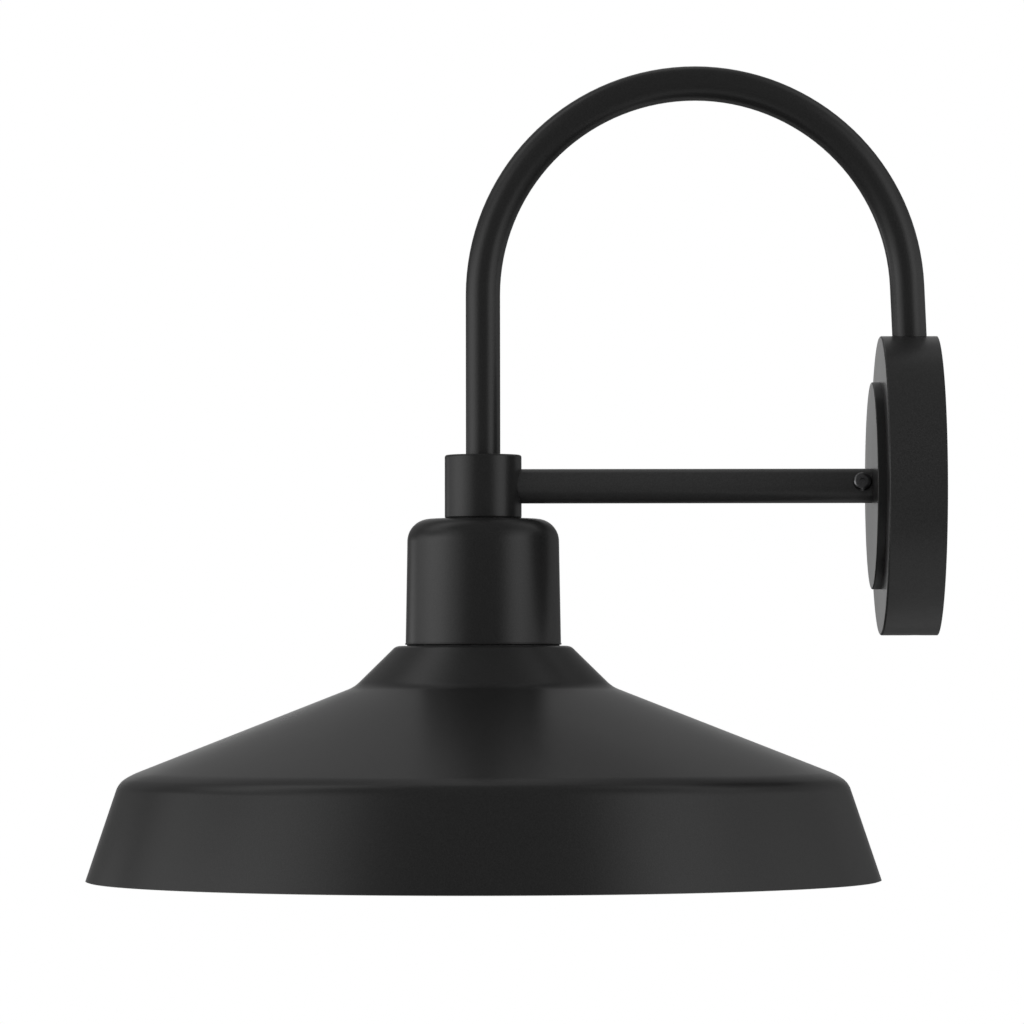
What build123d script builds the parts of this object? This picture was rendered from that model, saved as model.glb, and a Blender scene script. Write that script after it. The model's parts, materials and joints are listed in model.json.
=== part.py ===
# Barn light: wall canopy, gooseneck pipe, straight brace, socket cap and spun shade
import os
from math import cos, radians, sin, tan

from build123d import *

os.makedirs("parts", exist_ok=True)

# Driving dimensions in millimetres and degrees
canopy_radius = 76.3
canopy_depth = 29.0
canopy_wall = 2.5
arm_plate_radius = 52.8
arm_plate_thickness = 4.35
reach = 231.3
pipe_radius = 8.8
pipe_wall = 2.0
arch_height = 97.5
leg_inset = 13.6
leg_lean = 2.5
collar_radius = 19.6
collar_top = 16.0
collar_bottom = -16.6
cap_top_radius = 38.5
cap_bottom_radius = 39.6
cap_height = 64.2
cap_round = 11.5
cap_wall = 2.5
neck_ledge = 4.85
step_radius = 65.7
step_drop = 20.85
shoulder_drop = 69.4
skirt_flare = 16.75
rim_radius = 202.25
shade_height = 119.1
shade_wall = 1.2
shade_gasket_thickness = 0.5
slot_spacing = 88.9
slot_width = 5.2
slot_length = 14.0
sheet = 2.0
thread_pitch = 3.629
base_thread_radius = 12.75
thread_depth = 0.4
bulb_radius = 30.0
bulb_length = 111.0

# Clearances and small allowances
slip = 0.05
screw_play = 0.25
thread_play = 0.25
holder_play = 4.0

# Values that follow from the sizes above
canopy_inner = canopy_radius - canopy_wall
arm_plate_front = canopy_depth + arm_plate_thickness
pipe_bore = pipe_radius - pipe_wall
cap_top = collar_bottom
cap_bottom = cap_top - cap_height
neck_top = cap_bottom - shade_gasket_thickness
neck_radius = cap_bottom_radius + neck_ledge
shoulder_radius = rim_radius - skirt_flare
head_plane = Plane.XZ.offset(reach)
head_axis = Axis((0, -reach, 0), (0, 0, 1))
lean_sin = sin(radians(leg_lean))
lean_cos = cos(radians(leg_lean))
leg_drift = (arch_height - canopy_radius) * tan(radians(leg_lean))
arch_radius = (reach - leg_inset - leg_drift) / (1 + 1 / lean_cos)
arc_end_y = -reach + arch_radius * (1 + lean_cos)
arc_end_z = arch_height + arch_radius * lean_sin
leg_length = (arc_end_z - canopy_radius) / lean_cos
entry = (0, arc_end_y + leg_length * lean_sin, arc_end_z - leg_length * lean_cos)
leg_plane = Plane(origin=entry, x_dir=(1, 0, 0), z_dir=(0, lean_sin, -lean_cos))

# Canopy: rim, inward lip, top pad
lip_back = 3.0
lip_thickness = 2.5
lip_width = 4.1
lip_inner = canopy_inner - lip_width
canopy_edge = 0.9
pad_radius = 10.1
pad_depth = 7.5
pad_sink = 1.5
tail_step = 2.25
tail_wall = 2.0
spigot_step = 1.75
tail_radius = pipe_radius - tail_step
tail_bore = tail_radius - tail_wall
spigot_tail_radius = pipe_bore - spigot_step
lock_radius = 2.0
lock_head_radius = 3.75
lock_sink_radius = 4.0
lock_y = 11.0
lock_plane = Plane(origin=(0, -lock_y, -canopy_radius), x_dir=(1, 0, 0), z_dir=(0, 0, 1))
with BuildPart() as canopy:
    with BuildSketch(Plane.XZ):
        Circle(canopy_radius)
    extrude(amount=canopy_depth)
    fillet(canopy.faces().sort_by(Axis.Y)[0].edges(), canopy_edge)
    with BuildSketch(Plane.XZ):
        Circle(canopy_inner)
    extrude(amount=canopy_depth - canopy_wall, mode=Mode.SUBTRACT)
    with BuildSketch(Plane.XZ.offset(lip_back)):
        Circle(canopy_inner + slip)
        Circle(lip_inner, mode=Mode.SUBTRACT)
    extrude(amount=lip_thickness)
    with BuildSketch(leg_plane.offset(pad_depth)):
        Circle(pad_radius)
    extrude(amount=pad_sink - pad_depth)
    with BuildSketch(leg_plane.offset(-canopy_wall)):
        Circle(tail_radius + screw_play)
    extrude(amount=pad_depth + 2 * canopy_wall, mode=Mode.SUBTRACT)
    with BuildSketch(Plane.XZ):
        Circle(spigot_tail_radius + screw_play)
    extrude(amount=canopy_depth, mode=Mode.SUBTRACT)
    with BuildSketch(lock_plane):
        Circle(lock_radius + screw_play)
    extrude(amount=2 * canopy_wall, mode=Mode.SUBTRACT)
    with BuildSketch(lock_plane):
        Circle(lock_sink_radius)
    extrude(amount=lock_sink_radius - lock_radius, taper=45, mode=Mode.SUBTRACT)
canopy.part.label = "canopy"
export_step(canopy.part, "parts/canopy.step")

# Foam gasket between the lip and the wall
with BuildPart() as wall_gasket:
    with BuildSketch(Plane.XZ):
        Circle(canopy_inner)
        Circle(lip_inner, mode=Mode.SUBTRACT)
    extrude(amount=lip_back)
wall_gasket.part.label = "wall_gasket"
export_step(wall_gasket.part, "parts/wall_gasket.step")

# Mounting plate with slots, two raised tongues that carry the lip, and a tapped tab
bracket_gap = 5.5
bracket_radius = lip_inner - bracket_gap
wire_hole_radius = 22.0
tongue_x = 21.0
tongue_width = 10.0
tongue_reach = 6.0
tongue_root = bracket_radius - tongue_reach
tongue_back = lip_back + lip_thickness
tongue_gap = 1.0
tongue_top = canopy_inner - tongue_gap
notch_height = 8.0
tab_width = 14.0
tab_depth = 17.0
tab_height = 6.0
ground_x = -30.0
ground_z = 40.0
ground_radius = 2.0
with BuildPart() as mounting_plate:
    with BuildSketch(Plane.XZ):
        Circle(bracket_radius)
        with Locations((0, -bracket_radius - sheet + tab_height / 2)):
            Rectangle(tab_width, tab_height)
        Circle(wire_hole_radius, mode=Mode.SUBTRACT)
        with GridLocations(slot_spacing, 0, 2, 1):
            SlotOverall(slot_length, slot_width, mode=Mode.SUBTRACT)
        with Locations((tongue_x, tongue_root + sheet + notch_height / 2)):
            Rectangle(tongue_width, notch_height, mode=Mode.SUBTRACT)
        with Locations((-tongue_x, tongue_root + sheet + notch_height / 2)):
            Rectangle(tongue_width, notch_height, mode=Mode.SUBTRACT)
        with Locations((ground_x, ground_z)):
            Circle(ground_radius + slip, mode=Mode.SUBTRACT)
    extrude(amount=sheet)
    with BuildSketch(Plane.XZ):
        with GridLocations(2 * tongue_x, 0, 2, 1):
            with Locations((0, tongue_root + sheet / 2)):
                Rectangle(tongue_width, sheet)
    extrude(amount=tongue_back + sheet)
    with BuildSketch(Plane.XZ.offset(tongue_back)):
        with GridLocations(2 * tongue_x, 0, 2, 1):
            with Locations((0, canopy_radius / 2 + tongue_root / 2)):
                Rectangle(tongue_width, canopy_radius - tongue_root)
        Circle(tongue_top, mode=Mode.INTERSECT)
    extrude(amount=sheet)
    with BuildSketch(Plane.XZ):
        with Locations((0, -bracket_radius - sheet / 2)):
            Rectangle(tab_width, sheet)
    extrude(amount=tab_depth)
    with BuildSketch(lock_plane):
        Circle(lock_radius + slip)
    extrude(amount=canopy_radius - bracket_radius + sheet, mode=Mode.SUBTRACT)
mounting_plate.part.label = "mounting_plate"
export_step(mounting_plate.part, "parts/mounting_plate.step")

# Countersunk screw that holds the canopy's rim to the tab
lock_sink = lock_sink_radius - lock_head_radius
lock_key_radius = 1.4
lock_key_depth = 1.2
lock_past_tab = 4.0
lock_length = canopy_radius - bracket_radius + lock_past_tab
with BuildPart() as canopy_lock_screw:
    with BuildSketch(lock_plane.offset(lock_sink)):
        Circle(lock_head_radius)
    extrude(amount=lock_head_radius - lock_radius, taper=45)
    with BuildSketch(lock_plane.offset(lock_sink)):
        Circle(lock_radius)
    extrude(amount=lock_length)
    with BuildSketch(lock_plane.offset(lock_sink)):
        RegularPolygon(lock_key_radius, 6)
    extrude(amount=lock_key_depth, mode=Mode.SUBTRACT)
canopy_lock_screw.part.label = "canopy_lock_screw"
export_step(canopy_lock_screw.part, "parts/canopy_lock_screw.step")

# Ground lead: ring terminal under the screw, then a short insulated wire
wire_radius = 1.2
core_radius = 0.7
core_length = 9.0
ring_thickness = 1.0
ring_radius = 3.6
ground_head_radius = 3.8
ground_head_height = 2.6
screw_slot_width = 1.0
screw_slot_depth = 1.1
ground_ring_front = sheet + ring_thickness
tongue_length = 4.4
lead_bend = 6.0
ground_start = (ground_x, -sheet - wire_radius, ground_z - tongue_length)
ground_drop = (ground_x, -sheet - wire_radius, 28.0)
ground_turn = (ground_x + 10, -13.0, 19.0)
ground_end = (ground_x + 10, -13.0, 9.0)
with BuildPart() as ground_lead:
    with BuildLine():
        FilletPolyline(ground_start, ground_drop, ground_turn, ground_end, radius=lead_bend)
    with BuildSketch(Plane(origin=ground_start, x_dir=(1, 0, 0), z_dir=(0, 0, -1))):
        Circle(wire_radius)
    sweep()
    with BuildSketch(Plane.XZ.offset(sheet)):
        with Locations((ground_x, ground_z)):
            Circle(ring_radius)
        with Locations((ground_x, ground_z - tongue_length)):
            Rectangle(2 * wire_radius, 2 * wire_radius)
        with Locations((ground_x, ground_z)):
            Circle(ground_radius + screw_play, mode=Mode.SUBTRACT)
    extrude(amount=ring_thickness)
ground_lead.part.label = "ground_lead"
export_step(ground_lead.part, "parts/ground_lead.step")

# Ground screw
with BuildPart() as ground_screw:
    with BuildSketch(Plane.XZ.offset(ground_ring_front)):
        with Locations((ground_x, ground_z)):
            Circle(ground_head_radius)
    extrude(amount=ground_head_height)
    with BuildSketch(Plane.XZ.offset(ground_ring_front + ground_head_height)):
        with Locations((ground_x, ground_z)):
            Rectangle(2 * ground_head_radius, screw_slot_width)
    extrude(amount=-screw_slot_depth, mode=Mode.SUBTRACT)
    with BuildSketch(Plane.XZ.offset(ground_ring_front)):
        with Locations((ground_x, ground_z)):
            Circle(ground_radius)
    extrude(amount=slip - ground_ring_front)
ground_screw.part.label = "ground_screw"
export_step(ground_screw.part, "parts/ground_screw.step")

# Round plate in front of the canopy
arm_plate_edge = 0.6
with BuildPart() as arm_plate:
    with BuildSketch(Plane.XZ.offset(canopy_depth)):
        Circle(arm_plate_radius)
    extrude(amount=arm_plate_thickness)
    fillet(arm_plate.faces().sort_by(Axis.Y)[0].edges(), arm_plate_edge)
    with BuildSketch(Plane.XZ.offset(canopy_depth)):
        Circle(spigot_tail_radius + screw_play)
    extrude(amount=arm_plate_thickness, mode=Mode.SUBTRACT)
arm_plate.part.label = "arm_plate"
export_step(arm_plate.part, "parts/arm_plate.step")

# Spigot: shank inside the brace, threaded tail through plate and canopy
spigot_length = 24.0
washer_thickness = 1.2
washer_margin = 3.5
washer_radius = tail_radius + washer_margin
nut_height = 5.0
tail_past_nut = 2.0
spigot_inner = canopy_depth - canopy_wall
spigot_nut_front = spigot_inner - washer_thickness
spigot_tail_end = spigot_nut_front - nut_height - tail_past_nut
brace_screw_inset = 5.0
brace_screw_y = arm_plate_front + brace_screw_inset
brace_screw_turn = 12.0
brace_screw_radius = 2.5
brace_head_radius = 4.75
brace_head_height = 2.7
brace_seat_depth = 0.45
brace_seat = pipe_radius - brace_seat_depth
spigot_chamfer = 1.0
tail_chamfer = 0.6
brace_screw_plane = Plane(
    origin=(0, -brace_screw_y, 0),
    x_dir=(0, 1, 0),
    z_dir=(cos(radians(brace_screw_turn)), 0, sin(radians(brace_screw_turn))),
)
with BuildPart() as brace_spigot:
    with BuildSketch(Plane.XZ.offset(arm_plate_front)):
        Circle(pipe_bore - slip)
    extrude(amount=spigot_length)
    chamfer(brace_spigot.faces().sort_by(Axis.Y)[0].edges(), spigot_chamfer)
    with BuildSketch(Plane.XZ.offset(spigot_tail_end)):
        Circle(spigot_tail_radius)
    extrude(amount=arm_plate_front - spigot_tail_end)
    chamfer(brace_spigot.faces().sort_by(Axis.Y)[-1].edges(), tail_chamfer)
    with BuildSketch(brace_screw_plane.offset(-pipe_radius)):
        Circle(brace_screw_radius + slip)
    extrude(amount=2 * pipe_radius, mode=Mode.SUBTRACT)
brace_spigot.part.label = "brace_spigot"
export_step(brace_spigot.part, "parts/brace_spigot.step")

# Washer and nut of the spigot
with BuildPart() as spigot_washer:
    with BuildSketch(Plane.XZ.offset(spigot_nut_front)):
        Circle(washer_radius)
        Circle(spigot_tail_radius + screw_play, mode=Mode.SUBTRACT)
    extrude(amount=washer_thickness)
spigot_washer.part.label = "spigot_washer"
export_step(spigot_washer.part, "parts/spigot_washer.step")

nut_margin = 3.0
spigot_nut_flat = spigot_tail_radius + nut_margin
with BuildPart() as spigot_nut:
    with BuildSketch(Plane.XZ.offset(spigot_nut_front - nut_height)):
        RegularPolygon(spigot_nut_flat, 6, major_radius=False)
        Circle(spigot_tail_radius + slip, mode=Mode.SUBTRACT)
    extrude(amount=nut_height)
spigot_nut.part.label = "spigot_nut"
export_step(spigot_nut.part, "parts/spigot_nut.step")

# Straight brace tube with a seat for its screw
brace_socket = 9.4
brace_depth = collar_radius - brace_socket
brace_length = reach - brace_depth - arm_plate_front
with BuildPart() as brace_tube:
    with BuildSketch(Plane.XZ.offset(arm_plate_front)):
        Circle(pipe_radius)
        Circle(pipe_bore, mode=Mode.SUBTRACT)
    extrude(amount=brace_length)
    with BuildSketch(brace_screw_plane.offset(brace_seat)):
        Circle(brace_head_radius + screw_play)
    extrude(amount=brace_head_height, mode=Mode.SUBTRACT)
    with BuildSketch(brace_screw_plane):
        Circle(brace_screw_radius + screw_play)
    extrude(amount=pipe_radius, mode=Mode.SUBTRACT)
brace_tube.part.label = "brace_tube"
export_step(brace_tube.part, "parts/brace_tube.step")

# Button-head screw through the brace into the spigot
brace_key_radius = 1.7
brace_key_depth = 1.5
brace_screw_past_axis = 4.0
brace_head_round = 0.7 * brace_head_height
with BuildPart() as brace_lock_screw:
    with BuildSketch(brace_screw_plane.offset(brace_seat)):
        Circle(brace_head_radius)
    extrude(amount=brace_head_height)
    brace_head_edge = brace_lock_screw.edges().filter_by(GeomType.CIRCLE).sort_by(Axis.X)[-1]
    fillet(brace_head_edge, brace_head_round)
    with BuildSketch(brace_screw_plane.offset(brace_seat)):
        Circle(brace_screw_radius)
    extrude(amount=-brace_seat - brace_screw_past_axis)
    with BuildSketch(brace_screw_plane.offset(brace_seat + brace_head_height)):
        RegularPolygon(brace_key_radius, 6)
    extrude(amount=-brace_key_depth, mode=Mode.SUBTRACT)
brace_lock_screw.part.label = "brace_lock_screw"
export_step(brace_lock_screw.part, "parts/brace_lock_screw.step")

# Gooseneck pipe: upright leg, arch, leaning leg, reduced threaded tail
socket_web = 1.45
neck_floor = pipe_radius + socket_web
bore_stop = 5.0
pad_nut_start = pad_depth + washer_thickness
tail_end = pad_nut_start + nut_height + tail_past_nut
bore_end = (entry[1] - bore_stop * lean_sin, entry[2] + bore_stop * lean_cos)
pipe_end = (entry[1] + pad_depth * lean_sin, entry[2] - pad_depth * lean_cos)
with BuildPart() as gooseneck_pipe:
    with BuildLine(Plane.YZ):
        Line((-reach, neck_floor), (-reach, arch_height))
        CenterArc((-reach + arch_radius, arch_height), arch_radius, 180, leg_lean - 180)
        Line((arc_end_y, arc_end_z), pipe_end)
    with BuildSketch(Plane((0, -reach, neck_floor))):
        Circle(pipe_radius)
    sweep()
    with BuildSketch(Plane.XZ):
        Circle(canopy_radius)
    extrude(amount=canopy_depth, mode=Mode.SUBTRACT)
    with BuildSketch(leg_plane.offset(-bore_stop / 2)):
        Circle(tail_radius)
    extrude(amount=bore_stop / 2 + tail_end)
    with BuildLine(Plane.YZ):
        Line((-reach, neck_floor), (-reach, arch_height))
        CenterArc((-reach + arch_radius, arch_height), arch_radius, 180, leg_lean - 180)
        Line((arc_end_y, arc_end_z), bore_end)
    with BuildSketch(Plane((0, -reach, neck_floor))):
        Circle(pipe_bore)
    sweep(mode=Mode.SUBTRACT)
    with BuildSketch(leg_plane.offset(tail_end)):
        Circle(tail_bore)
    extrude(amount=-tail_end - bore_stop - pipe_wall, mode=Mode.SUBTRACT)
gooseneck_pipe.part.label = "gooseneck_pipe"
export_step(gooseneck_pipe.part, "parts/gooseneck_pipe.step")

# Washer and nut on the gooseneck's tail
with BuildPart() as gooseneck_washer:
    with BuildSketch(leg_plane.offset(pad_depth)):
        Circle(washer_radius)
        Circle(tail_radius + screw_play, mode=Mode.SUBTRACT)
    extrude(amount=washer_thickness)
gooseneck_washer.part.label = "gooseneck_washer"
export_step(gooseneck_washer.part, "parts/gooseneck_washer.step")

gooseneck_nut_flat = tail_radius + nut_margin
with BuildPart() as gooseneck_nut:
    with BuildSketch(leg_plane.offset(pad_nut_start)):
        RegularPolygon(gooseneck_nut_flat, 6, major_radius=False)
        Circle(tail_radius + slip, mode=Mode.SUBTRACT)
    extrude(amount=nut_height)
gooseneck_nut.part.label = "gooseneck_nut"
export_step(gooseneck_nut.part, "parts/gooseneck_nut.step")

# Hub collar: sockets for pipe and brace, threaded hole below, wire passage
collar_edge = 1.2
passage_radius = 5.0
nipple_radius = 6.0
nipple_bore = 4.3
nipple_grip = 9.0
nipple_top = collar_bottom + nipple_grip
with BuildPart() as hub_collar:
    with BuildSketch(Plane((0, -reach, collar_bottom))):
        Circle(collar_radius)
    extrude(amount=collar_top - collar_bottom)
    fillet(hub_collar.edges().filter_by(GeomType.CIRCLE), collar_edge)
    with BuildSketch(Plane((0, -reach, neck_floor))):
        Circle(pipe_radius + slip)
    extrude(amount=collar_top - neck_floor, mode=Mode.SUBTRACT)
    with BuildSketch(Plane.XZ.offset(reach - brace_depth)):
        Circle(pipe_radius + slip)
    extrude(amount=-collar_radius, mode=Mode.SUBTRACT)
    with BuildSketch(Plane((0, -reach, collar_bottom))):
        Circle(nipple_radius + slip)
    extrude(amount=nipple_top - collar_bottom, mode=Mode.SUBTRACT)
    with BuildSketch(Plane((0, -reach, collar_bottom))):
        Circle(passage_radius)
    extrude(amount=collar_top - collar_bottom, mode=Mode.SUBTRACT)
hub_collar.part.label = "hub_collar"
export_step(hub_collar.part, "parts/hub_collar.step")

# Threaded nipple with its washer and locknut, which clamp collar, cap and bracket
strap = 1.6
roof_thickness = 3.0
cap_roof = cap_top - roof_thickness
nipple_washer_top = cap_roof - strap
nipple_nut_top = nipple_washer_top - washer_thickness
nipple_end = nipple_nut_top - nut_height - tail_past_nut
with BuildPart() as cap_nipple:
    with BuildSketch(Plane((0, -reach, nipple_end))):
        Circle(nipple_radius)
        Circle(nipple_bore, mode=Mode.SUBTRACT)
    extrude(amount=nipple_top - nipple_end)
cap_nipple.part.label = "cap_nipple"
export_step(cap_nipple.part, "parts/cap_nipple.step")

with BuildPart() as nipple_washer:
    with BuildSketch(Plane((0, -reach, nipple_nut_top))):
        Circle(washer_radius)
        Circle(nipple_radius + screw_play, mode=Mode.SUBTRACT)
    extrude(amount=washer_thickness)
nipple_washer.part.label = "nipple_washer"
export_step(nipple_washer.part, "parts/nipple_washer.step")

nipple_nut_margin = 3.5
nipple_nut_flat = nipple_radius + nipple_nut_margin
with BuildPart() as nipple_locknut:
    with BuildSketch(Plane((0, -reach, nipple_nut_top - nut_height))):
        RegularPolygon(nipple_nut_flat, 6, major_radius=False)
        Circle(nipple_radius + slip, mode=Mode.SUBTRACT)
    extrude(amount=nut_height)
nipple_locknut.part.label = "nipple_locknut"
export_step(nipple_locknut.part, "parts/nipple_locknut.step")

# Socket cap: rounded top, slight taper, fine bead at the lower edge, three bosses for the shade screws
boss_radius = 4.5
boss_sink = 0.55
boss_ring = cap_bottom_radius - cap_wall - boss_radius + boss_sink
boss_height = 16.0
shade_screw_radius = 2.0
bead_height = 1.0
bead_width = 0.3
bead_top = (cap_bottom_radius, cap_bottom + bead_height)
bead_middle = (cap_bottom_radius + bead_width, cap_bottom + bead_height / 2)
cap_inner_round = cap_round - cap_wall
with BuildPart() as socket_cap:
    with BuildSketch(head_plane):
        with BuildLine():
            Polyline((0, cap_bottom), (0, cap_top), (cap_top_radius, cap_top), bead_top)
            ThreePointArc(bead_top, bead_middle, (cap_bottom_radius, cap_bottom))
            Line((cap_bottom_radius, cap_bottom), (0, cap_bottom))
        make_face()
        fillet(vertices().sort_by_distance((cap_top_radius, cap_top))[0], cap_round)
    revolve(axis=head_axis)
    with BuildSketch(head_plane):
        with BuildLine():
            Polyline(
                (0, cap_roof),
                (cap_top_radius - cap_wall, cap_roof),
                (cap_bottom_radius - cap_wall, cap_bottom),
                (0, cap_bottom),
                close=True,
            )
        make_face()
        fillet(vertices().sort_by_distance((cap_top_radius - cap_wall, cap_roof))[0], cap_inner_round)
    revolve(axis=head_axis, mode=Mode.SUBTRACT)
    with BuildSketch(Plane((0, -reach, cap_bottom))):
        with PolarLocations(boss_ring, 3):
            Circle(boss_radius)
    extrude(amount=boss_height)
    with BuildSketch(Plane((0, -reach, cap_bottom))):
        with PolarLocations(boss_ring, 3):
            Circle(shade_screw_radius + slip)
    extrude(amount=boss_height - cap_wall, mode=Mode.SUBTRACT)
    with BuildSketch(Plane((0, -reach, cap_roof))):
        Circle(nipple_radius + screw_play)
    extrude(amount=cap_top - cap_roof, mode=Mode.SUBTRACT)
socket_cap.part.label = "socket_cap"
export_step(socket_cap.part, "parts/socket_cap.step")

# Lampholder sizes, from the bulb's thread outward
shell_gauge = 0.45
shell_gap = 0.45
holder_wall = 5.7
shell_thread_radius = base_thread_radius + thread_play
holder_bore = shell_thread_radius + shell_gauge + thread_depth + shell_gap
holder_radius = holder_bore + holder_wall
neck_hole_radius = holder_radius + holder_play

# Lampholder bracket: web under the cap's roof, two legs, two feet on the porcelain
bracket_drop = 22.4
holder_top = cap_roof - bracket_drop
leg_edge = 2.3
leg_inner = holder_radius - leg_edge
foot_inner = 8.0
foot_screw_edge = 7.0
foot_screw_offset = holder_radius - foot_screw_edge
strap_width = 14.0
holder_screw_radius = 1.75
with BuildPart() as lampholder_bracket:
    with BuildSketch(Plane((0, -reach, nipple_washer_top))):
        Rectangle(strap_width, 2 * (leg_inner + strap))
        Circle(nipple_radius + screw_play, mode=Mode.SUBTRACT)
    extrude(amount=strap)
    with BuildSketch(Plane((0, -reach, holder_top))):
        with GridLocations(0, 2 * leg_inner + strap, 1, 2):
            Rectangle(strap_width, strap)
    extrude(amount=cap_roof - holder_top)
    with BuildSketch(Plane((0, -reach, holder_top))):
        with GridLocations(0, leg_inner + strap + foot_inner, 1, 2):
            Rectangle(strap_width, leg_inner + strap - foot_inner)
        with GridLocations(0, 2 * foot_screw_offset, 1, 2):
            Circle(holder_screw_radius + screw_play, mode=Mode.SUBTRACT)
    extrude(amount=strap)
lampholder_bracket.part.label = "lampholder_bracket"
export_step(lampholder_bracket.part, "parts/lampholder_bracket.step")

# Porcelain lampholder body
holder_height = 42.0
holder_base = 8.0
holder_edge = 1.2
holder_floor = holder_top - holder_base
holder_mouth = holder_top - holder_height
holder_screw_depth = 6.0
terminal_edge = 6.0
terminal_offset = holder_radius - terminal_edge
rivet_spacing = 4.0
rivet_offset = terminal_offset - rivet_spacing
contact_rivet = 2.0
shell_rivet = 1.5
with BuildPart() as lampholder_body:
    with BuildSketch(Plane((0, -reach, holder_mouth))):
        Circle(holder_radius)
    extrude(amount=holder_top - holder_mouth)
    fillet(lampholder_body.edges().filter_by(GeomType.CIRCLE), holder_edge)
    with BuildSketch(Plane((0, -reach, holder_mouth))):
        Circle(holder_bore)
    extrude(amount=holder_floor - holder_mouth, mode=Mode.SUBTRACT)
    with BuildSketch(Plane((0, -reach, holder_top))):
        with GridLocations(0, 2 * foot_screw_offset, 1, 2):
            Circle(holder_screw_radius + slip)
        with GridLocations(2 * terminal_offset, 0, 2, 1):
            Circle(holder_screw_radius + slip)
    extrude(amount=-holder_screw_depth, mode=Mode.SUBTRACT)
    with BuildSketch(Plane((0, -reach, holder_top))):
        Circle(contact_rivet + slip)
        with Locations((-rivet_offset, 0)):
            Circle(shell_rivet + slip)
    extrude(amount=holder_floor - holder_top, mode=Mode.SUBTRACT)
lampholder_body.part.label = "lampholder_body"
export_step(lampholder_body.part, "parts/lampholder_body.step")

# Two screws that hold the porcelain to the bracket's feet
holder_head_radius = 3.2
holder_head_height = 2.0
screw_end_gap = 0.5
foot_top = holder_top + strap
with BuildPart() as lampholder_screws:
    with BuildSketch(Plane((0, -reach, foot_top))):
        with GridLocations(0, 2 * foot_screw_offset, 1, 2):
            Circle(holder_head_radius)
    extrude(amount=holder_head_height)
    with BuildSketch(Plane((0, -reach, foot_top))):
        with GridLocations(0, 2 * foot_screw_offset, 1, 2):
            Circle(holder_screw_radius)
    extrude(amount=screw_end_gap - strap - holder_screw_depth)
    with BuildSketch(Plane((0, -reach, foot_top + holder_head_height))):
        with GridLocations(0, 2 * foot_screw_offset, 1, 2):
            Rectangle(2 * holder_head_radius, screw_slot_width)
    extrude(amount=-screw_slot_depth, mode=Mode.SUBTRACT)
lampholder_screws.part.label = "lampholder_screws"
export_step(lampholder_screws.part, "parts/lampholder_screws.step")

# Threaded screw shell with its flange, rivet and terminal strip
contact_sheet = 0.8
shell_flange_radius = 7.5
shell_turns = 7
shell_top = holder_floor - contact_sheet
shell_bottom = shell_top - shell_turns * thread_pitch
strip_width = 7.0
strip_edge = 2.5
strip_end = holder_radius - strip_edge
with BuildPart() as screw_shell:
    with BuildLine(Plane((0, -reach, shell_bottom))):
        Helix(thread_pitch, shell_top - shell_bottom, thread_depth)
    with BuildSketch(Plane((thread_depth, -reach, shell_bottom))):
        Circle(shell_thread_radius + shell_gauge)
    sweep(normal=(0, 0, 1))
    with BuildSketch(Plane((thread_depth, -reach, shell_top))):
        Circle(shell_thread_radius + shell_gauge)
    extrude(amount=contact_sheet)
    with BuildLine(Plane((0, -reach, shell_bottom))):
        Helix(thread_pitch, shell_top - shell_bottom, thread_depth)
    with BuildSketch(Plane((thread_depth, -reach, shell_bottom))):
        Circle(shell_thread_radius)
    sweep(normal=(0, 0, 1), mode=Mode.SUBTRACT)
    with BuildSketch(Plane((0, -reach, shell_top))):
        Circle(shell_flange_radius)
    extrude(amount=contact_sheet, mode=Mode.SUBTRACT)
    with BuildSketch(Plane((0, -reach, holder_floor))):
        with Locations((-rivet_offset, 0)):
            Circle(shell_rivet)
    extrude(amount=holder_top - holder_floor)
    with BuildSketch(Plane((0, -reach, holder_top))):
        with Locations((-strip_end / 2 - shell_flange_radius / 2, 0)):
            Rectangle(strip_end - shell_flange_radius, strip_width)
        with Locations((-terminal_offset, 0)):
            Circle(holder_screw_radius + screw_play, mode=Mode.SUBTRACT)
    extrude(amount=contact_sheet)
screw_shell.part.label = "screw_shell"
export_step(screw_shell.part, "parts/screw_shell.step")

# Centre contact: sprung leaf, rivet and terminal strip
leaf_radius = 4.5
leaf_width = 5.0
leaf_gauge = 0.6
leaf_root = 1.2
leaf_bend = 1.2
leaf_drop = 5.0
leaf_end = 3.2
leaf_tip = holder_floor - leaf_drop
strip_start = 3.5
with BuildPart() as centre_contact:
    with BuildSketch(Plane((0, -reach, holder_floor))):
        Circle(leaf_radius)
    extrude(amount=-contact_sheet)
    with BuildSketch(Plane((0, -reach, holder_floor))):
        Circle(contact_rivet)
    extrude(amount=holder_top - holder_floor)
    with BuildSketch(Plane((0, -reach, holder_top))):
        with Locations((strip_end / 2 - strip_start / 2, 0)):
            Rectangle(strip_end + strip_start, strip_width)
        with Locations((terminal_offset, 0)):
            Circle(holder_screw_radius + screw_play, mode=Mode.SUBTRACT)
    extrude(amount=contact_sheet)
    with BuildSketch(head_plane):
        with BuildLine():
            Polyline(
                (-leaf_radius, shell_top),
                (leaf_root - leaf_radius, shell_top),
                (leaf_bend, leaf_tip + leaf_gauge),
                (leaf_end, leaf_tip + leaf_gauge),
                (leaf_end, leaf_tip),
                (leaf_bend - leaf_gauge / 2, leaf_tip),
                close=True,
            )
        make_face()
    extrude(amount=leaf_width / 2, both=True)
centre_contact.part.label = "centre_contact"
export_step(centre_contact.part, "parts/centre_contact.step")

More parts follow.
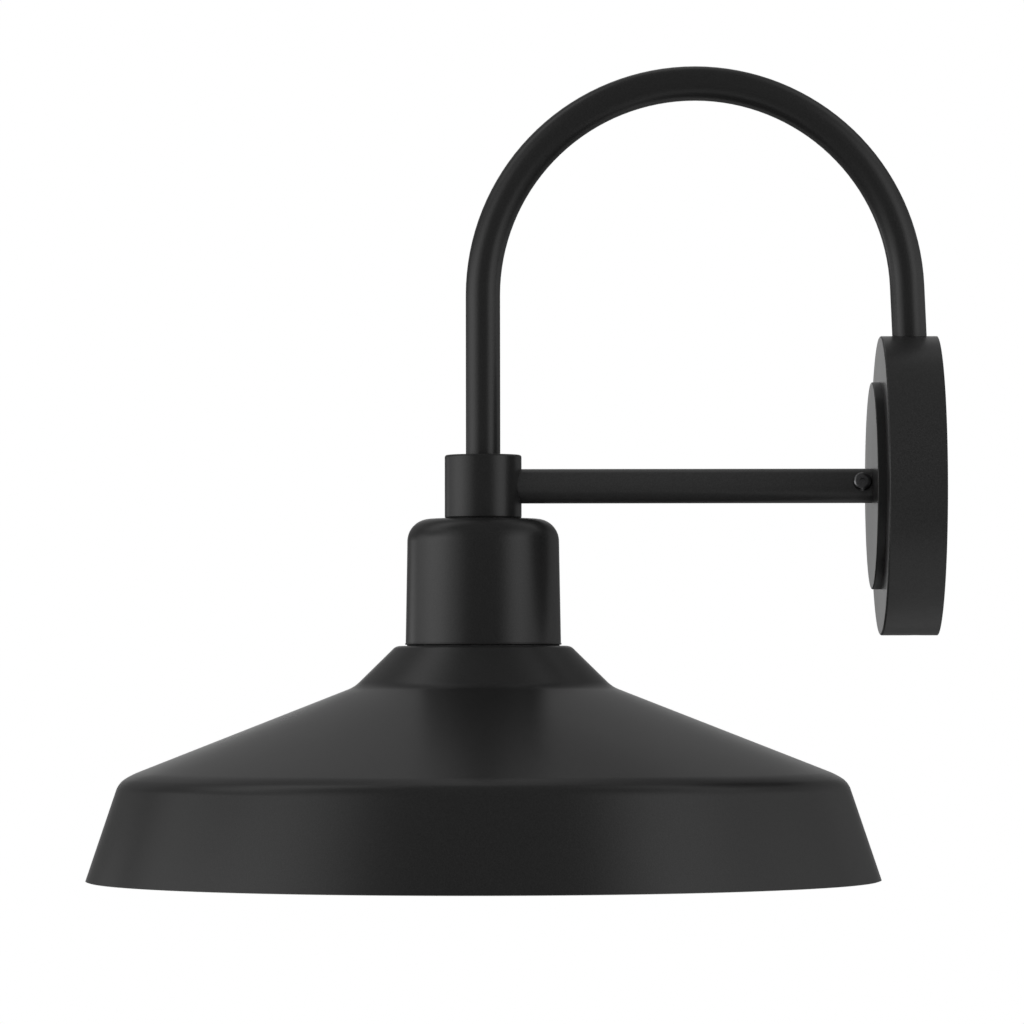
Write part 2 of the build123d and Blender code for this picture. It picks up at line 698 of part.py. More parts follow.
# Terminal screws that clamp the leads' rings to the strips
strip_top = holder_top + contact_sheet
lead_ring_top = strip_top + ring_thickness
terminal_head_height = 2.4
with BuildPart() as terminal_screws:
    with BuildSketch(Plane((0, -reach, lead_ring_top))):
        with GridLocations(2 * terminal_offset, 0, 2, 1):
            Circle(holder_head_radius)
    extrude(amount=terminal_head_height)
    with BuildSketch(Plane((0, -reach, lead_ring_top))):
        with GridLocations(2 * terminal_offset, 0, 2, 1):
            Circle(holder_screw_radius)
    extrude(amount=holder_top - lead_ring_top - holder_screw_depth + screw_end_gap)
    with BuildSketch(Plane((0, -reach, lead_ring_top + terminal_head_height))):
        with GridLocations(2 * terminal_offset, 0, 2, 1):
            Rectangle(2 * holder_head_radius, screw_slot_width)
    extrude(amount=-screw_slot_depth, mode=Mode.SUBTRACT)
terminal_screws.part.label = "terminal_screws"
export_step(terminal_screws.part, "parts/terminal_screws.step")

# Leads from the terminals through nipple, collar and gooseneck into the canopy
lead_offset = 2.2
lead_past_tail = 6.0
lead_tail = tail_end + lead_past_tail
lead_exit_y = entry[1] + lead_tail * lean_sin
lead_exit_z = entry[2] - lead_tail * lean_cos
lead_end_x = 34.0
lead_turn_z = 34.0
lead_end_z = 20.0
ring_side = terminal_offset - ring_radius
lead_height = strip_top + wire_radius
arch_top_y = -reach + arch_radius
arch_top_z = arch_height + arch_radius
with BuildPart() as live_lead:
    with BuildLine():
        FilletPolyline(
            (ring_side, -reach, lead_height),
            (lead_offset, -reach, lead_height),
            (lead_offset, -reach, arch_height),
            radius=lead_bend,
        )
        ThreePointArc(
            (lead_offset, -reach, arch_height),
            (lead_offset, arch_top_y, arch_top_z),
            (lead_offset, arc_end_y, arc_end_z),
        )
        FilletPolyline(
            (lead_offset, arc_end_y, arc_end_z),
            (lead_offset, lead_exit_y, lead_exit_z),
            (lead_end_x, lead_exit_y, lead_turn_z),
            (lead_end_x, lead_exit_y, lead_end_z),
            radius=lead_bend,
        )
    with BuildSketch(Plane(origin=(ring_side, -reach, lead_height), x_dir=(0, 1, 0), z_dir=(-1, 0, 0))):
        Circle(wire_radius)
    sweep()
    with BuildSketch(Plane((0, -reach, strip_top))):
        with Locations((terminal_offset, 0)):
            Circle(ring_radius)
        with Locations((ring_side, 0)):
            Rectangle(2 * wire_radius, 2 * wire_radius)
        with Locations((terminal_offset, 0)):
            Circle(holder_screw_radius + screw_play, mode=Mode.SUBTRACT)
    extrude(amount=ring_thickness)
live_lead.part.label = "live_lead"
export_step(live_lead.part, "parts/live_lead.step")

with BuildPart() as neutral_lead:
    add(live_lead.part)
    mirror(about=Plane.YZ, mode=Mode.REPLACE)
neutral_lead.part.label = "neutral_lead"
export_step(neutral_lead.part, "parts/neutral_lead.step")

# Bare copper ends of the three leads
with BuildPart() as lead_tips:
    with Locations((0, lead_exit_y, lead_end_z - core_length / 2)):
        with GridLocations(2 * lead_end_x, 0, 2, 1):
            Cylinder(core_radius, core_length)
    with Locations((ground_end[0], ground_end[1], ground_end[2] - core_length / 2)):
        Cylinder(core_radius, core_length)
lead_tips.part.label = "lead_tips"
export_step(lead_tips.part, "parts/lead_tips.step")

# Gasket between cap and shade
gasket_inset = 0.7
gasket_outer = cap_bottom_radius - gasket_inset
gasket_inner = boss_ring - boss_radius
with BuildPart() as shade_gasket:
    with BuildSketch(Plane((0, -reach, neck_top))):
        Circle(gasket_outer)
        Circle(gasket_inner, mode=Mode.SUBTRACT)
        with PolarLocations(boss_ring, 3):
            Circle(shade_screw_radius + screw_play, mode=Mode.SUBTRACT)
    extrude(amount=shade_gasket_thickness)
shade_gasket.part.label = "shade_gasket"
export_step(shade_gasket.part, "parts/shade_gasket.step")

# Spun shade: flat neck, steep cone, shallow cone, shoulder that bends gently then tightly, flared skirt
neck_round = 5.0
step_round = 18.0
brow_round = 40.0
brow_inset = 6.6
brow_rise = 4.1
shoulder_round = 11.0
neck_corner = (neck_radius, neck_top)
step_corner = (step_radius, neck_top - step_drop)
shoulder_corner = (shoulder_radius, neck_top - shoulder_drop)
brow_corner = (shoulder_radius - brow_inset, neck_top - shoulder_drop + brow_rise)
rim_corner = (rim_radius, neck_top - shade_height)
with BuildPart() as shade:
    with BuildSketch(head_plane):
        with BuildLine():
            Polyline(
                (neck_hole_radius, neck_top),
                neck_corner,
                step_corner,
                brow_corner,
                shoulder_corner,
                rim_corner,
            )
            fillet(vertices().sort_by_distance(neck_corner)[0], neck_round)
            fillet(vertices().sort_by_distance(step_corner)[0], step_round)
            fillet(vertices().sort_by_distance(brow_corner)[0], brow_round)
            fillet(vertices().sort_by_distance(shoulder_corner)[0], shoulder_round)
            offset(amount=shade_wall, side=Side.RIGHT)
        make_face()
    revolve(axis=head_axis)
    with BuildSketch(Plane((0, -reach, neck_top))):
        with PolarLocations(boss_ring, 3):
            Circle(shade_screw_radius + screw_play)
    extrude(amount=-2 * shade_wall, mode=Mode.SUBTRACT)
shade.part.label = "shade"
export_step(shade.part, "parts/shade.step")

# Shade screws and washers
shade_washer_top = neck_top - shade_wall
shade_head_top = shade_washer_top - washer_thickness
shade_head_radius = 3.6
shade_head_height = 2.6
shade_washer_radius = 4.6
with BuildPart() as shade_washers:
    with BuildSketch(Plane((0, -reach, shade_head_top))):
        with PolarLocations(boss_ring, 3):
            Circle(shade_washer_radius)
            Circle(shade_screw_radius + screw_play, mode=Mode.SUBTRACT)
    extrude(amount=washer_thickness)
shade_washers.part.label = "shade_washers"
export_step(shade_washers.part, "parts/shade_washers.step")

with BuildPart() as shade_screws:
    with BuildSketch(Plane((0, -reach, shade_head_top))):
        with PolarLocations(boss_ring, 3):
            Circle(shade_head_radius)
    extrude(amount=-shade_head_height)
    with BuildSketch(Plane((0, -reach, shade_head_top))):
        with PolarLocations(boss_ring, 3):
            Circle(shade_screw_radius)
    extrude(amount=cap_bottom - shade_head_top + boss_height - 2 * cap_wall)
    with BuildSketch(Plane((0, -reach, shade_head_top - shade_head_height))):
        with PolarLocations(boss_ring, 3):
            Rectangle(2 * shade_head_radius, screw_slot_width)
    extrude(amount=screw_slot_depth, mode=Mode.SUBTRACT)
shade_screws.part.label = "shade_screws"
export_step(shade_screws.part, "parts/shade_screws.step")

# Bulb: contact button, insulator, threaded base and glass
contact_gap = 0.1
button_top = leaf_tip - contact_gap
button_height = 1.2
button_radius = 4.6
insulator_top = button_top - button_height
button_edge = 0.6
insulator_height = 3.7
insulator_plug = 2.0
insulator_rim = 0.8
base_wall = 0.75
base_skirt_height = 5.3
skirt_over_thread = 0.83
base_top = insulator_top - insulator_height
base_thread_start = shell_bottom - thread_pitch
base_thread_end = base_thread_start + skirt_over_thread
base_end = base_thread_end - base_skirt_height
base_skirt_radius = base_thread_radius + thread_depth + slip
base_bore = base_thread_radius - thread_depth - base_wall
with BuildPart() as bulb_contact:
    with BuildSketch(Plane((0, -reach, insulator_top))):
        Circle(button_radius)
    extrude(amount=button_height)
    fillet(bulb_contact.faces().sort_by(Axis.Z)[-1].edges(), button_edge)
bulb_contact.part.label = "bulb_contact"
export_step(bulb_contact.part, "parts/bulb_contact.step")

with BuildPart() as bulb_insulator:
    with BuildSketch(head_plane):
        with BuildLine():
            Polyline(
                (0, insulator_top),
                (button_radius + insulator_rim, insulator_top),
                (base_bore, base_top),
                (base_bore, base_top - insulator_plug),
                (0, base_top - insulator_plug),
                close=True,
            )
        make_face()
    revolve(axis=head_axis)
bulb_insulator.part.label = "bulb_insulator"
export_step(bulb_insulator.part, "parts/bulb_insulator.step")

with BuildPart() as bulb_base:
    with BuildLine(Plane((0, -reach, base_thread_start))):
        Helix(thread_pitch, base_top - base_thread_start, thread_depth)
    with BuildSketch(Plane((thread_depth, -reach, base_thread_start))):
        Circle(base_thread_radius)
    sweep(normal=(0, 0, 1))
    with BuildSketch(Plane((0, -reach, base_end))):
        Circle(base_skirt_radius)
    extrude(amount=base_thread_end - base_end)
    with BuildSketch(Plane((0, -reach, base_end))):
        Circle(base_bore)
    extrude(amount=base_top - base_end, mode=Mode.SUBTRACT)
bulb_base.part.label = "bulb_base"
export_step(bulb_base.part, "parts/bulb_base.step")

glass_wall = 1.0
glass_neck = base_bore - slip
glass_grip = 9.0
glass_top = base_end + glass_grip
bulb_bottom = button_top - bulb_length
bulb_middle = bulb_bottom + bulb_radius
shoulder_inset = 0.1
bulb_shoulder = base_skirt_radius - shoulder_inset
with BuildPart() as bulb_glass:
    with BuildSketch(head_plane):
        with BuildLine():
            Line((0, glass_top), (glass_neck, glass_top))
            Line((glass_neck, glass_top), (glass_neck, base_end))
            Line((glass_neck, base_end), (bulb_shoulder, base_end))
            Spline((bulb_shoulder, base_end), (bulb_radius, bulb_middle), tangents=((0, -1), (0, -1)))
            CenterArc((0, bulb_middle), bulb_radius, 0, -90)
            Line((0, bulb_bottom), (0, glass_top))
        make_face()
    revolve(axis=head_axis)
    with BuildSketch(head_plane):
        with BuildLine():
            Line((0, glass_top - glass_wall), (glass_neck - glass_wall, glass_top - glass_wall))
            Line((glass_neck - glass_wall, glass_top - glass_wall), (glass_neck - glass_wall, base_end))
            Spline(
                (glass_neck - glass_wall, base_end),
                (bulb_radius - glass_wall, bulb_middle),
                tangents=((0, -1), (0, -1)),
            )
            CenterArc((0, bulb_middle), bulb_radius - glass_wall, 0, -90)
            Line((0, bulb_bottom + glass_wall), (0, glass_top - glass_wall))
        make_face()
    revolve(axis=head_axis, mode=Mode.SUBTRACT)
bulb_glass.part.label = "bulb_glass"
export_step(bulb_glass.part, "parts/bulb_glass.step")
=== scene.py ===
import json
import math

import bmesh
import bpy
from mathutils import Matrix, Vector


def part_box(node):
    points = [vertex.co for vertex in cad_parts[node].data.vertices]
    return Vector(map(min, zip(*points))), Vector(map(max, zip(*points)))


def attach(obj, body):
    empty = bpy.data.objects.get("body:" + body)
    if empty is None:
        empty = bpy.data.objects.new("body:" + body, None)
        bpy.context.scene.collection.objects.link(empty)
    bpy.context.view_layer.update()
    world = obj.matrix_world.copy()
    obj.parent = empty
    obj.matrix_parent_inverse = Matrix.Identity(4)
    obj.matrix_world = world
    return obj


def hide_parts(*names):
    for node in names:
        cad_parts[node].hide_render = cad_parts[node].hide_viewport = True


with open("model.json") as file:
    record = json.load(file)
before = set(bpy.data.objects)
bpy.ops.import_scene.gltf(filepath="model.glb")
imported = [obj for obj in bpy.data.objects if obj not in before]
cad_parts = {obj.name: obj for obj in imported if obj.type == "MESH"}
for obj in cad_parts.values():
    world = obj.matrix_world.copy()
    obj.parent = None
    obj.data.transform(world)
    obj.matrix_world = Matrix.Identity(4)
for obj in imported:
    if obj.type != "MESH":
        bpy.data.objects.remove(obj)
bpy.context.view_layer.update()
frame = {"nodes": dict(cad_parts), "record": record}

nodes = frame["nodes"]
scene = bpy.context.scene
scene.view_settings.view_transform = "Standard"
mm = 0.001
print("frame loaded,", len(nodes), "nodes")


# camera at the photo's angle: square to the side, a little below the pipe, looking slightly up
shot = {"eye": (2.9, -0.2166, -0.095), "aim": (0.0, -0.2166, -0.0131), "lens": 200.0, "sensor": 36.0,
        "roll": -0.08, "farEnd": 50.0}


def placeCamera():
    lensData = bpy.data.cameras.new("photoCamera")
    lensData.lens = shot["lens"]
    lensData.sensor_width = shot["sensor"]
    lensData.clip_end = shot["farEnd"]
    camera = bpy.data.objects.new("photoCamera", lensData)
    scene.collection.objects.link(camera)
    camera.location = shot["eye"]
    look = Vector(shot["aim"]) - Vector(shot["eye"])
    camera.rotation_euler = look.to_track_quat("-Z", "Y").to_euler()
    camera.rotation_euler.rotate_axis("Z", math.radians(shot["roll"]))
    scene.camera = camera


placeCamera()
print("camera placed")


# small helpers that wire up a finish
def newFinish(name):
    finish = bpy.data.materials.new(name)
    finish.use_nodes = True
    tree = finish.node_tree
    tree.nodes.clear()
    out = tree.nodes.new("ShaderNodeOutputMaterial")
    shader = tree.nodes.new("ShaderNodeBsdfPrincipled")
    tree.links.new(shader.outputs["BSDF"], out.inputs["Surface"])
    return finish, tree, shader


def spots(tree, scale, detail=2.0, rough=0.5):
    place = tree.nodes.new("ShaderNodeTexCoord")
    noise = tree.nodes.new("ShaderNodeTexNoise")
    noise.inputs["Scale"].default_value = scale
    noise.inputs["Detail"].default_value = detail
    noise.inputs["Roughness"].default_value = rough
    tree.links.new(place.outputs["Object"], noise.inputs["Vector"])
    return noise.outputs["Fac"]


def remap(tree, value, fromLow, fromHigh, toLow, toHigh):
    ramp = tree.nodes.new("ShaderNodeMapRange")
    ramp.inputs["From Min"].default_value = fromLow
    ramp.inputs["From Max"].default_value = fromHigh
    ramp.inputs["To Min"].default_value = toLow
    ramp.inputs["To Max"].default_value = toHigh
    tree.links.new(value, ramp.inputs["Value"])
    return ramp.outputs["Result"]


def tint(tree, factor, colourA, colourB):
    mix = tree.nodes.new("ShaderNodeMix")
    mix.data_type = "RGBA"
    mix.inputs[6].default_value = (*colourA, 1)
    mix.inputs[7].default_value = (*colourB, 1)
    tree.links.new(factor, mix.inputs[0])
    return mix.outputs[2]


def combine(tree, operation, valueA, valueB):
    pair = tree.nodes.new("ShaderNodeMath")
    pair.operation = operation
    tree.links.new(valueA, pair.inputs[0])
    tree.links.new(valueB, pair.inputs[1])
    return pair.outputs[0]


def bumps(tree, shader, height, strength, distance):
    bump = tree.nodes.new("ShaderNodeBump")
    bump.inputs["Strength"].default_value = strength
    bump.inputs["Distance"].default_value = distance
    tree.links.new(height, bump.inputs["Height"])
    tree.links.new(bump.outputs["Normal"], shader.inputs["Normal"])


# satin black powder coat, with the fine sandy grain that such a coat has
coat = {"dark": 0.0105, "light": 0.019, "rough": (0.27, 0.31), "grain": 1500.0, "drift": 12.0,
        "bump": 0.18, "depth": 0.0002}


def powderCoat(name, paintedLift=1.0):
    finish, tree, shader = newFinish(name)
    # a lift above 1 gives a lighter copy of the same coat, which is painted light
    dark, light = [(coat[end] * paintedLift,) * 3 for end in ("dark", "light")]
    grain = spots(tree, coat["grain"], 2.0, 0.6)
    drift = spots(tree, coat["drift"], 2.0, 0.5)
    tree.links.new(tint(tree, remap(tree, grain, 0.3, 0.7, 0, 1), dark, light), shader.inputs["Base Color"])
    tree.links.new(remap(tree, drift, 0.2, 0.8, *coat["rough"]), shader.inputs["Roughness"])
    bumps(tree, shader, grain, coat["bump"], coat["depth"])
    return finish


# plain metals: zinc, brass, aluminium, copper
def bareMetal(name, colourA, colourB, rough, scale=260.0, depth=0.00008):
    finish, tree, shader = newFinish(name)
    shader.inputs["Metallic"].default_value = 1.0
    wear = spots(tree, scale, 3.0, 0.6)
    cloud = spots(tree, 60.0, 2.0, 0.5)
    tree.links.new(tint(tree, remap(tree, wear, 0.3, 0.7, 0, 1), colourA, colourB), shader.inputs["Base Color"])
    tree.links.new(remap(tree, cloud, 0.3, 0.7, *rough), shader.inputs["Roughness"])
    bumps(tree, shader, wear, 0.15, depth)
    return finish


# paints, plastics, foam and porcelain
def plainFinish(name, colourA, colourB, rough, scale, strength=0.15, depth=0.0001, glaze=0.0):
    finish, tree, shader = newFinish(name)
    shader.inputs["Coat Weight"].default_value = glaze
    shader.inputs["Coat Roughness"].default_value = 0.08
    grain = spots(tree, scale, 3.0, 0.6)
    cloud = spots(tree, scale * 0.12, 2.0, 0.5)
    tree.links.new(tint(tree, remap(tree, cloud, 0.3, 0.7, 0, 1), colourA, colourB), shader.inputs["Base Color"])
    tree.links.new(remap(tree, grain, 0.3, 0.7, *rough), shader.inputs["Roughness"])
    bumps(tree, shader, grain, strength, depth)
    return finish


# bulb glass, frosted on the inside
bulbGlass = {"through": 0.35, "bend": 1.5, "frost": 2600.0, "haze": 40.0, "rough": (0.22, 0.34),
             "colours": ((0.9, 0.89, 0.87), (0.96, 0.955, 0.94)), "bump": 0.04, "depth": 0.00003}


def frostedGlass(name):
    finish, tree, shader = newFinish(name)
    shader.inputs["Transmission Weight"].default_value = bulbGlass["through"]
    shader.inputs["IOR"].default_value = bulbGlass["bend"]
    frost = spots(tree, bulbGlass["frost"], 2.0, 0.5)
    haze = spots(tree, bulbGlass["haze"], 2.0, 0.5)
    tree.links.new(tint(tree, haze, *bulbGlass["colours"]), shader.inputs["Base Color"])
    tree.links.new(remap(tree, frost, 0.3, 0.7, *bulbGlass["rough"]), shader.inputs["Roughness"])
    bumps(tree, shader, frost, bulbGlass["bump"], bulbGlass["depth"])
    return finish


finishes = {
    "black_powder_coat": powderCoat("blackPowderCoat"),
    "white_enamel": plainFinish("whiteEnamel", (0.80, 0.80, 0.78), (0.86, 0.86, 0.845), (0.22, 0.30), 420.0,
                                strength=0.08, glaze=0.3),
    "zinc_steel": bareMetal("zincSteel", (0.50, 0.51, 0.53), (0.66, 0.67, 0.69), (0.28, 0.42)),
    "black_screw": bareMetal("blackScrew", (0.16, 0.16, 0.165), (0.24, 0.24, 0.245), (0.16, 0.24), 900.0),
    "green_screw": plainFinish("greenScrew", (0.02, 0.20, 0.05), (0.035, 0.26, 0.07), (0.28, 0.40), 600.0),
    "brass": bareMetal("brassParts", (0.68, 0.47, 0.18), (0.80, 0.60, 0.28), (0.20, 0.34)),
    "porcelain": plainFinish("porcelainGlaze", (0.80, 0.79, 0.75), (0.87, 0.86, 0.83), (0.12, 0.20), 180.0,
                             strength=0.06, depth=0.0002, glaze=0.5),
    "black_foam": plainFinish("blackFoam", (0.018, 0.018, 0.018), (0.04, 0.04, 0.04), (0.80, 0.95), 1400.0,
                              strength=0.6, depth=0.0004),
    "black_insulation": plainFinish("blackInsulation", (0.014, 0.014, 0.014), (0.024, 0.024, 0.024), (0.4, 0.5),
                                    800.0),
    "white_insulation": plainFinish("whiteInsulation", (0.72, 0.72, 0.69), (0.80, 0.80, 0.77), (0.4, 0.5), 800.0),
    "green_insulation": plainFinish("greenInsulation", (0.02, 0.20, 0.05), (0.03, 0.27, 0.07), (0.4, 0.5), 800.0),
    "copper": bareMetal("copperEnds", (0.72, 0.36, 0.20), (0.85, 0.50, 0.32), (0.25, 0.40), 900.0),
    "frosted_glass": frostedGlass("frostedGlass"),
    "bulb_aluminium": bareMetal("bulbAluminium", (0.68, 0.68, 0.69), (0.78, 0.78, 0.79), (0.24, 0.36)),
    "black_glass": plainFinish("blackGlass", (0.01, 0.01, 0.01), (0.018, 0.018, 0.018), (0.1, 0.2), 300.0),
}
for part in frame["record"]["subparts"]:
    piece = nodes[part["node"]]
    piece.data.materials.clear()
    piece.data.materials.append(finishes[part["material_slot"]])
# the canopy and the brace get lighter copies of the same black coat: painted light where more light falls on them
paintedLightCoats = {"canopy": 1.6, "brace_tube": 2.1}
for name, paintedLift in paintedLightCoats.items():
    nodes[name].data.materials[0] = powderCoat("paintedLightCoat_" + name, paintedLift)
print("finishes made,", len(finishes) + len(paintedLightCoats))


# lathe work: a profile of corners in radius and height, rounded, then spun about an upright axis
def roundCorners(corners, radii, steps):
    path = [Vector(corners[0])]
    for before, corner, after, radius in zip(corners, corners[1:], corners[2:], radii):
        corner = Vector(corner)
        inward = (Vector(before) - corner).normalized()
        onward = (Vector(after) - corner).normalized()
        half = inward.angle(onward) / 2
        centre = corner + (inward + onward).normalized() * (radius / math.sin(half))
        start = corner + inward * (radius / math.tan(half)) - centre
        end = corner + onward * (radius / math.tan(half)) - centre
        sweep = start.angle_signed(end)
        for i in range(steps + 1):
            turn = -sweep * i / steps
            path.append(centre + Vector((start.x * math.cos(turn) - start.y * math.sin(turn),
                                         start.x * math.sin(turn) + start.y * math.cos(turn))))
    path.append(Vector(corners[-1]))
    return path


def insetCorners(corners, distance):
    lines = []
    for a, b in zip(corners, corners[1:]):
        along = (Vector(b) - Vector(a)).normalized()
        side = Vector((-along.y, along.x)) * -distance
        lines.append((Vector(a) + side, along, Vector(b) + side))
    moved = [lines[0][0]]
    for (p, u, _), (q, v, _) in zip(lines, lines[1:]):
        across = u.x * v.y - u.y * v.x
        gap = q - p
        moved.append(p + u * ((gap.x * v.y - gap.y * v.x) / across))
    moved.append(lines[-1][2])
    return moved


def spin(name, profile, axisY, segments, sharpAngle):
    mesh = bpy.data.meshes.new(name)
    shape = bmesh.new()
    rings = []
    for i in range(segments):
        turn = 2 * math.pi * i / segments
        rings.append([shape.verts.new((p.x * mm * math.cos(turn), axisY + p.x * mm * math.sin(turn), p.y * mm))
                      for p in profile])
    count = len(profile)
    for i in range(segments):
        here, there = rings[i], rings[(i + 1) % segments]
        for j in range(count):
            k = (j + 1) % count
            shape.faces.new((here[j], there[j], there[k], here[k]))
    bmesh.ops.recalc_face_normals(shape, faces=shape.faces)
    shape.to_mesh(mesh)
    shape.free()
    mesh.shade_smooth()
    mesh.set_sharp_from_angle(angle=math.radians(sharpAngle))
    piece = bpy.data.objects.new(name, mesh)
    scene.collection.objects.link(piece)
    return piece


# shade: black spun shell outside, white enamel lining inside, hemmed rim
shadeShape = {"hole": 24.0, "neck": 44.45, "step": 65.7, "stepDrop": 20.85, "flare": 16.75, "shoulderDrop": 69.4,
              "browInset": 6.6, "browRise": 4.1, "neckRound": 5.0, "stepRound": 18.0, "browRound": 40.0,
              "shoulderRound": 11.0, "wall": 1.2, "shell": 0.8, "hem": 0.4, "bendSteps": 14, "turnSteps": 288,
              "sharpAngle": 40.0}


def makeShade():
    low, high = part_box("shade")
    axisY = (low[1] + high[1]) / 2
    rim = (high[0] - low[0]) / 2 / mm
    top, bottom = high[2] / mm, low[2] / mm
    s = shadeShape
    shoulder = (rim - s["flare"], top - s["shoulderDrop"])
    brow = (shoulder[0] - s["browInset"], shoulder[1] + s["browRise"])
    outside = [(s["hole"], top), (s["neck"], top), (s["step"], top - s["stepDrop"]), brow, shoulder,
               (rim, bottom + s["hem"])]
    rounds = (s["neckRound"], s["stepRound"], s["browRound"], s["shoulderRound"])

    def skin(depth):
        bend = (rounds[0] - depth, rounds[1] + depth, rounds[2] - depth, rounds[3] - depth)
        return roundCorners(insetCorners(outside, depth), bend, s["bendSteps"])

    shell = skin(0.0) + list(reversed(skin(s["shell"])))
    lining = skin(s["shell"]) + list(reversed(skin(s["wall"])))
    outer = spin("shadeShell", shell, axisY, s["turnSteps"], s["sharpAngle"])
    inner = spin("shadeLining", lining, axisY, s["turnSteps"], s["sharpAngle"])
    outer.data.materials.append(finishes["black_powder_coat"])
    inner.data.materials.append(finishes["white_enamel"])
    for piece, slot in ((outer, "black_powder_coat"), (inner, "white_enamel")):
        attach(piece, "fixture")
        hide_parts("shade")


makeShade()
print("shade spun")


# pale floor well below the light, and a white world; backdrop is the direction of its middle
studio = {"floorPlace": (0, -0.22, -1.5), "floorRadius": 2.6, "floorFade": (0.8, 2.5), "floorSteps": 96,
          "floorGrey": 0.5, "floorRough": 0.9, "room": 0.125, "fill": 0.6, "white": 1.0,
          "backdrop": (-0.998, -0.015, 0.06), "backdropFade": (0.02, 0.28)}


def layFloor():
    mesh = bpy.data.meshes.new("floor")
    shape = bmesh.new()
    bmesh.ops.create_circle(shape, cap_ends=True, segments=studio["floorSteps"],
                            radius=studio["floorRadius"])
    shape.to_mesh(mesh)
    shape.free()
    floor = bpy.data.objects.new("floor", mesh)
    floor.location = studio["floorPlace"]
    scene.collection.objects.link(floor)
    finish, tree, shader = newFinish("paleFloor")
    grey = studio["floorGrey"]
    shader.inputs["Base Color"].default_value = (grey, grey, grey, 1)
    shader.inputs["Roughness"].default_value = studio["floorRough"]
    # towards its edge the floor fades out to the white of the background
    place = tree.nodes.new("ShaderNodeTexCoord")
    far = tree.nodes.new("ShaderNodeVectorMath")
    far.operation = "LENGTH"
    tree.links.new(place.outputs["Object"], far.inputs[0])
    clear = tree.nodes.new("ShaderNodeBsdfTransparent")
    mix = tree.nodes.new("ShaderNodeMixShader")
    tree.links.new(remap(tree, far.outputs["Value"], *studio["floorFade"], 0.0, 1.0), mix.inputs[0])
    tree.links.new(shader.outputs["BSDF"], mix.inputs[1])
    tree.links.new(clear.outputs["BSDF"], mix.inputs[2])
    out = [n for n in tree.nodes if n.type == "OUTPUT_MATERIAL"][0]
    tree.links.new(mix.outputs["Shader"], out.inputs["Surface"])
    mesh.materials.append(finish)


def lightWorld():
    world = bpy.data.worlds.new("studioWorld")
    scene.world = world
    world.use_nodes = True
    world.cycles.sampling_method = "NONE"  # keeps the kinds of ray apart
    tree = world.node_tree
    tree.nodes.clear()
    out = tree.nodes.new("ShaderNodeOutputWorld")
    rays = tree.nodes.new("ShaderNodeLightPath")
    lights = {}
    for name in ("room", "fill", "white"):
        lights[name] = tree.nodes.new("ShaderNodeBackground")
        lights[name].inputs["Color"].default_value = (1, 1, 1, 1)
        lights[name].inputs["Strength"].default_value = studio[name]
    # gloss mirrors a dim room and the white backdrop behind the object, colour is lit by an even fill
    way = tree.nodes.new("ShaderNodeTexCoord")
    behind = tree.nodes.new("ShaderNodeVectorMath")
    behind.operation = "DISTANCE"
    behind.inputs[1].default_value = studio["backdrop"]
    tree.links.new(way.outputs["Generated"], behind.inputs[0])
    backdrop = remap(tree, behind.outputs["Value"], *studio["backdropFade"], 1.0, 0.0)
    mirrored = combine(tree, "MAXIMUM", rays.outputs["Is Glossy Ray"], rays.outputs["Is Transmission Ray"])
    mirrored = combine(tree, "MULTIPLY", mirrored, backdrop)
    around = tree.nodes.new("ShaderNodeMixShader")
    tree.links.new(rays.outputs["Is Diffuse Ray"], around.inputs[0])
    tree.links.new(lights["room"].outputs[0], around.inputs[1])
    tree.links.new(lights["fill"].outputs[0], around.inputs[2])
    mix = tree.nodes.new("ShaderNodeMixShader")
    tree.links.new(combine(tree, "MAXIMUM", rays.outputs["Is Camera Ray"], mirrored), mix.inputs[0])
    tree.links.new(around.outputs[0], mix.inputs[1])
    tree.links.new(lights["white"].outputs[0], mix.inputs[2])
    tree.links.new(mix.outputs[0], out.inputs["Surface"])


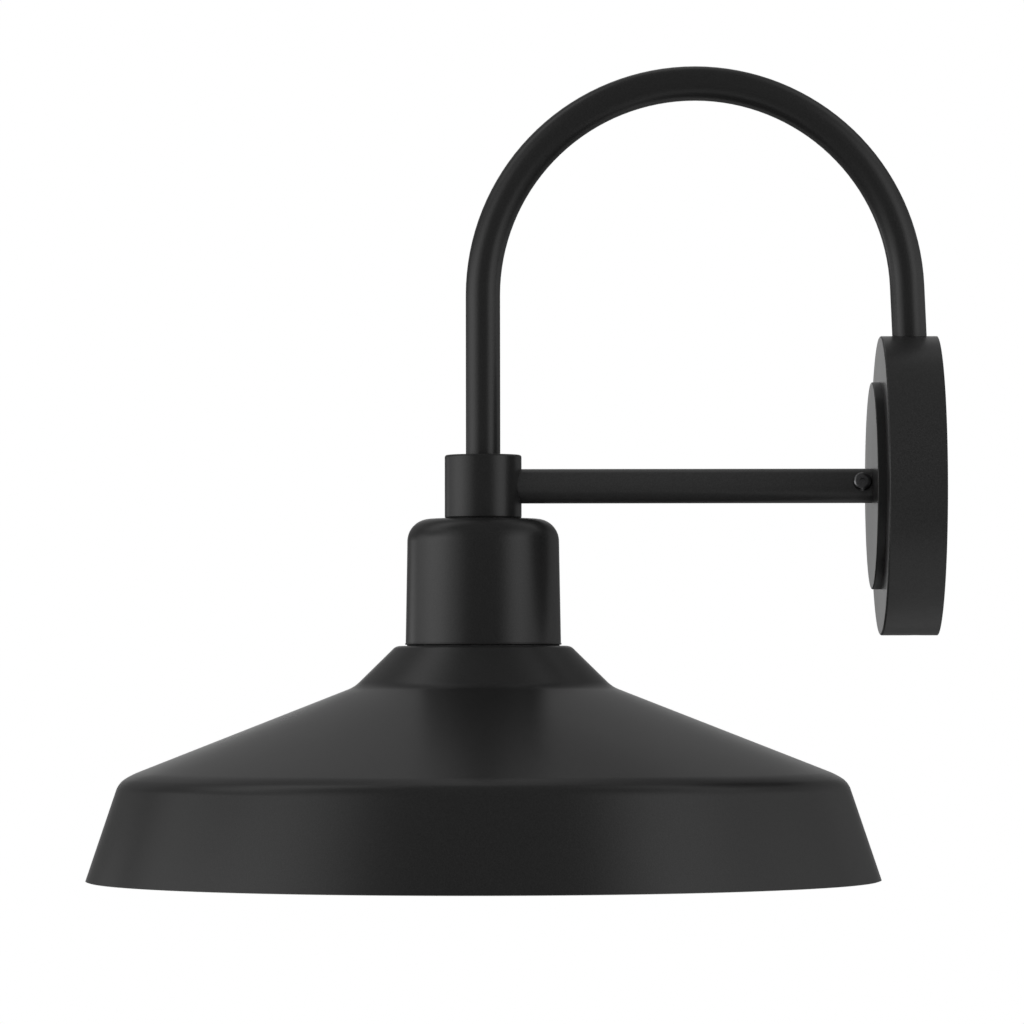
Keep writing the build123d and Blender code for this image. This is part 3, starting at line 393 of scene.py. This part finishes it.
# soft boxes round the light, brightest in the middle and fading to their edges; turn is from the camera to the left
softBoxes = {
    "leftFront": {"turn": 50, "rise": 5, "size": 2.0, "glow": 0.737},
    "left": {"turn": 75, "rise": 5, "size": 2.0, "glow": 1.31},
    "leftBack": {"turn": 100, "rise": 5, "size": 2.0, "glow": 0.761},
    "leftLow": {"turn": 130, "rise": -5, "size": 1.1, "glow": 0.944},
    "rightFront": {"turn": -50, "rise": 5, "size": 2.0, "glow": 0.926},
    "right": {"turn": -75, "rise": 5, "size": 2.0, "glow": 0.534},
    "rightBack": {"turn": -100, "rise": 5, "size": 2.0, "glow": 0.39},
    "rightFarBack": {"turn": -125, "rise": 5, "size": 2.0, "glow": 0.115},
    "leftHigh": {"turn": 60, "rise": 30, "size": 2.0, "glow": 0.592},
    "leftHighBack": {"turn": 150, "rise": 30, "size": 2.0, "glow": 0.068},
    "rightHigh": {"turn": -60, "rise": 30, "size": 2.0, "glow": 0.618},
    "rightHighBack": {"turn": -90, "rise": 30, "size": 2.0, "glow": 0.229},
    "backHigh": {"turn": 180, "rise": 30, "size": 2.0, "glow": 0.29},
    "topLeft": {"turn": 102, "rise": 45, "size": 1.8, "glow": 0.62},
    "topLeftBack": {"turn": 122, "rise": 61, "size": 1.2, "glow": 0.6},
    "topRight": {"turn": -110, "rise": 52, "size": 1.9, "glow": 0.393},
    "topBack": {"turn": 180, "rise": 62, "size": 1.2, "glow": 0.334},
}
boxMiddle = Vector((0.0, -0.22, -0.05))
boxDistance = 2.2
boxFade = (0.08, 0.50)  # from the middle, in widths of a box


def hangBoxes():
    for name, box in softBoxes.items():
        lamp = bpy.data.lights.new(name, "AREA")
        lamp.shape = "RECTANGLE"
        lamp.size = lamp.size_y = box["size"]
        lamp.energy = box["glow"] * math.pi * box["size"] ** 2
        lamp.use_nodes = True
        tree = lamp.node_tree
        shine = tree.nodes["Emission"]
        face = tree.nodes.new("ShaderNodeNewGeometry")
        middle = tree.nodes.new("ShaderNodeVectorMath")
        middle.operation = "DISTANCE"
        middle.inputs[1].default_value = (0.5, 0.5, 0.0)
        tree.links.new(face.outputs["Parametric"], middle.inputs[0])
        tree.links.new(remap(tree, middle.outputs["Value"], *boxFade, 1.0, 0.0), shine.inputs["Strength"])
        holder = bpy.data.objects.new(name, lamp)
        turn, rise = math.radians(box["turn"]), math.radians(box["rise"])
        out = Vector((math.cos(rise) * math.cos(turn), -math.cos(rise) * math.sin(turn), math.sin(rise)))
        holder.location = boxMiddle + out * boxDistance
        holder.rotation_euler = (-out).to_track_quat("-Z", "Y").to_euler()
        holder.visible_camera = False
        scene.collection.objects.link(holder)


layFloor()
lightWorld()
hangBoxes()
print("studio lit")
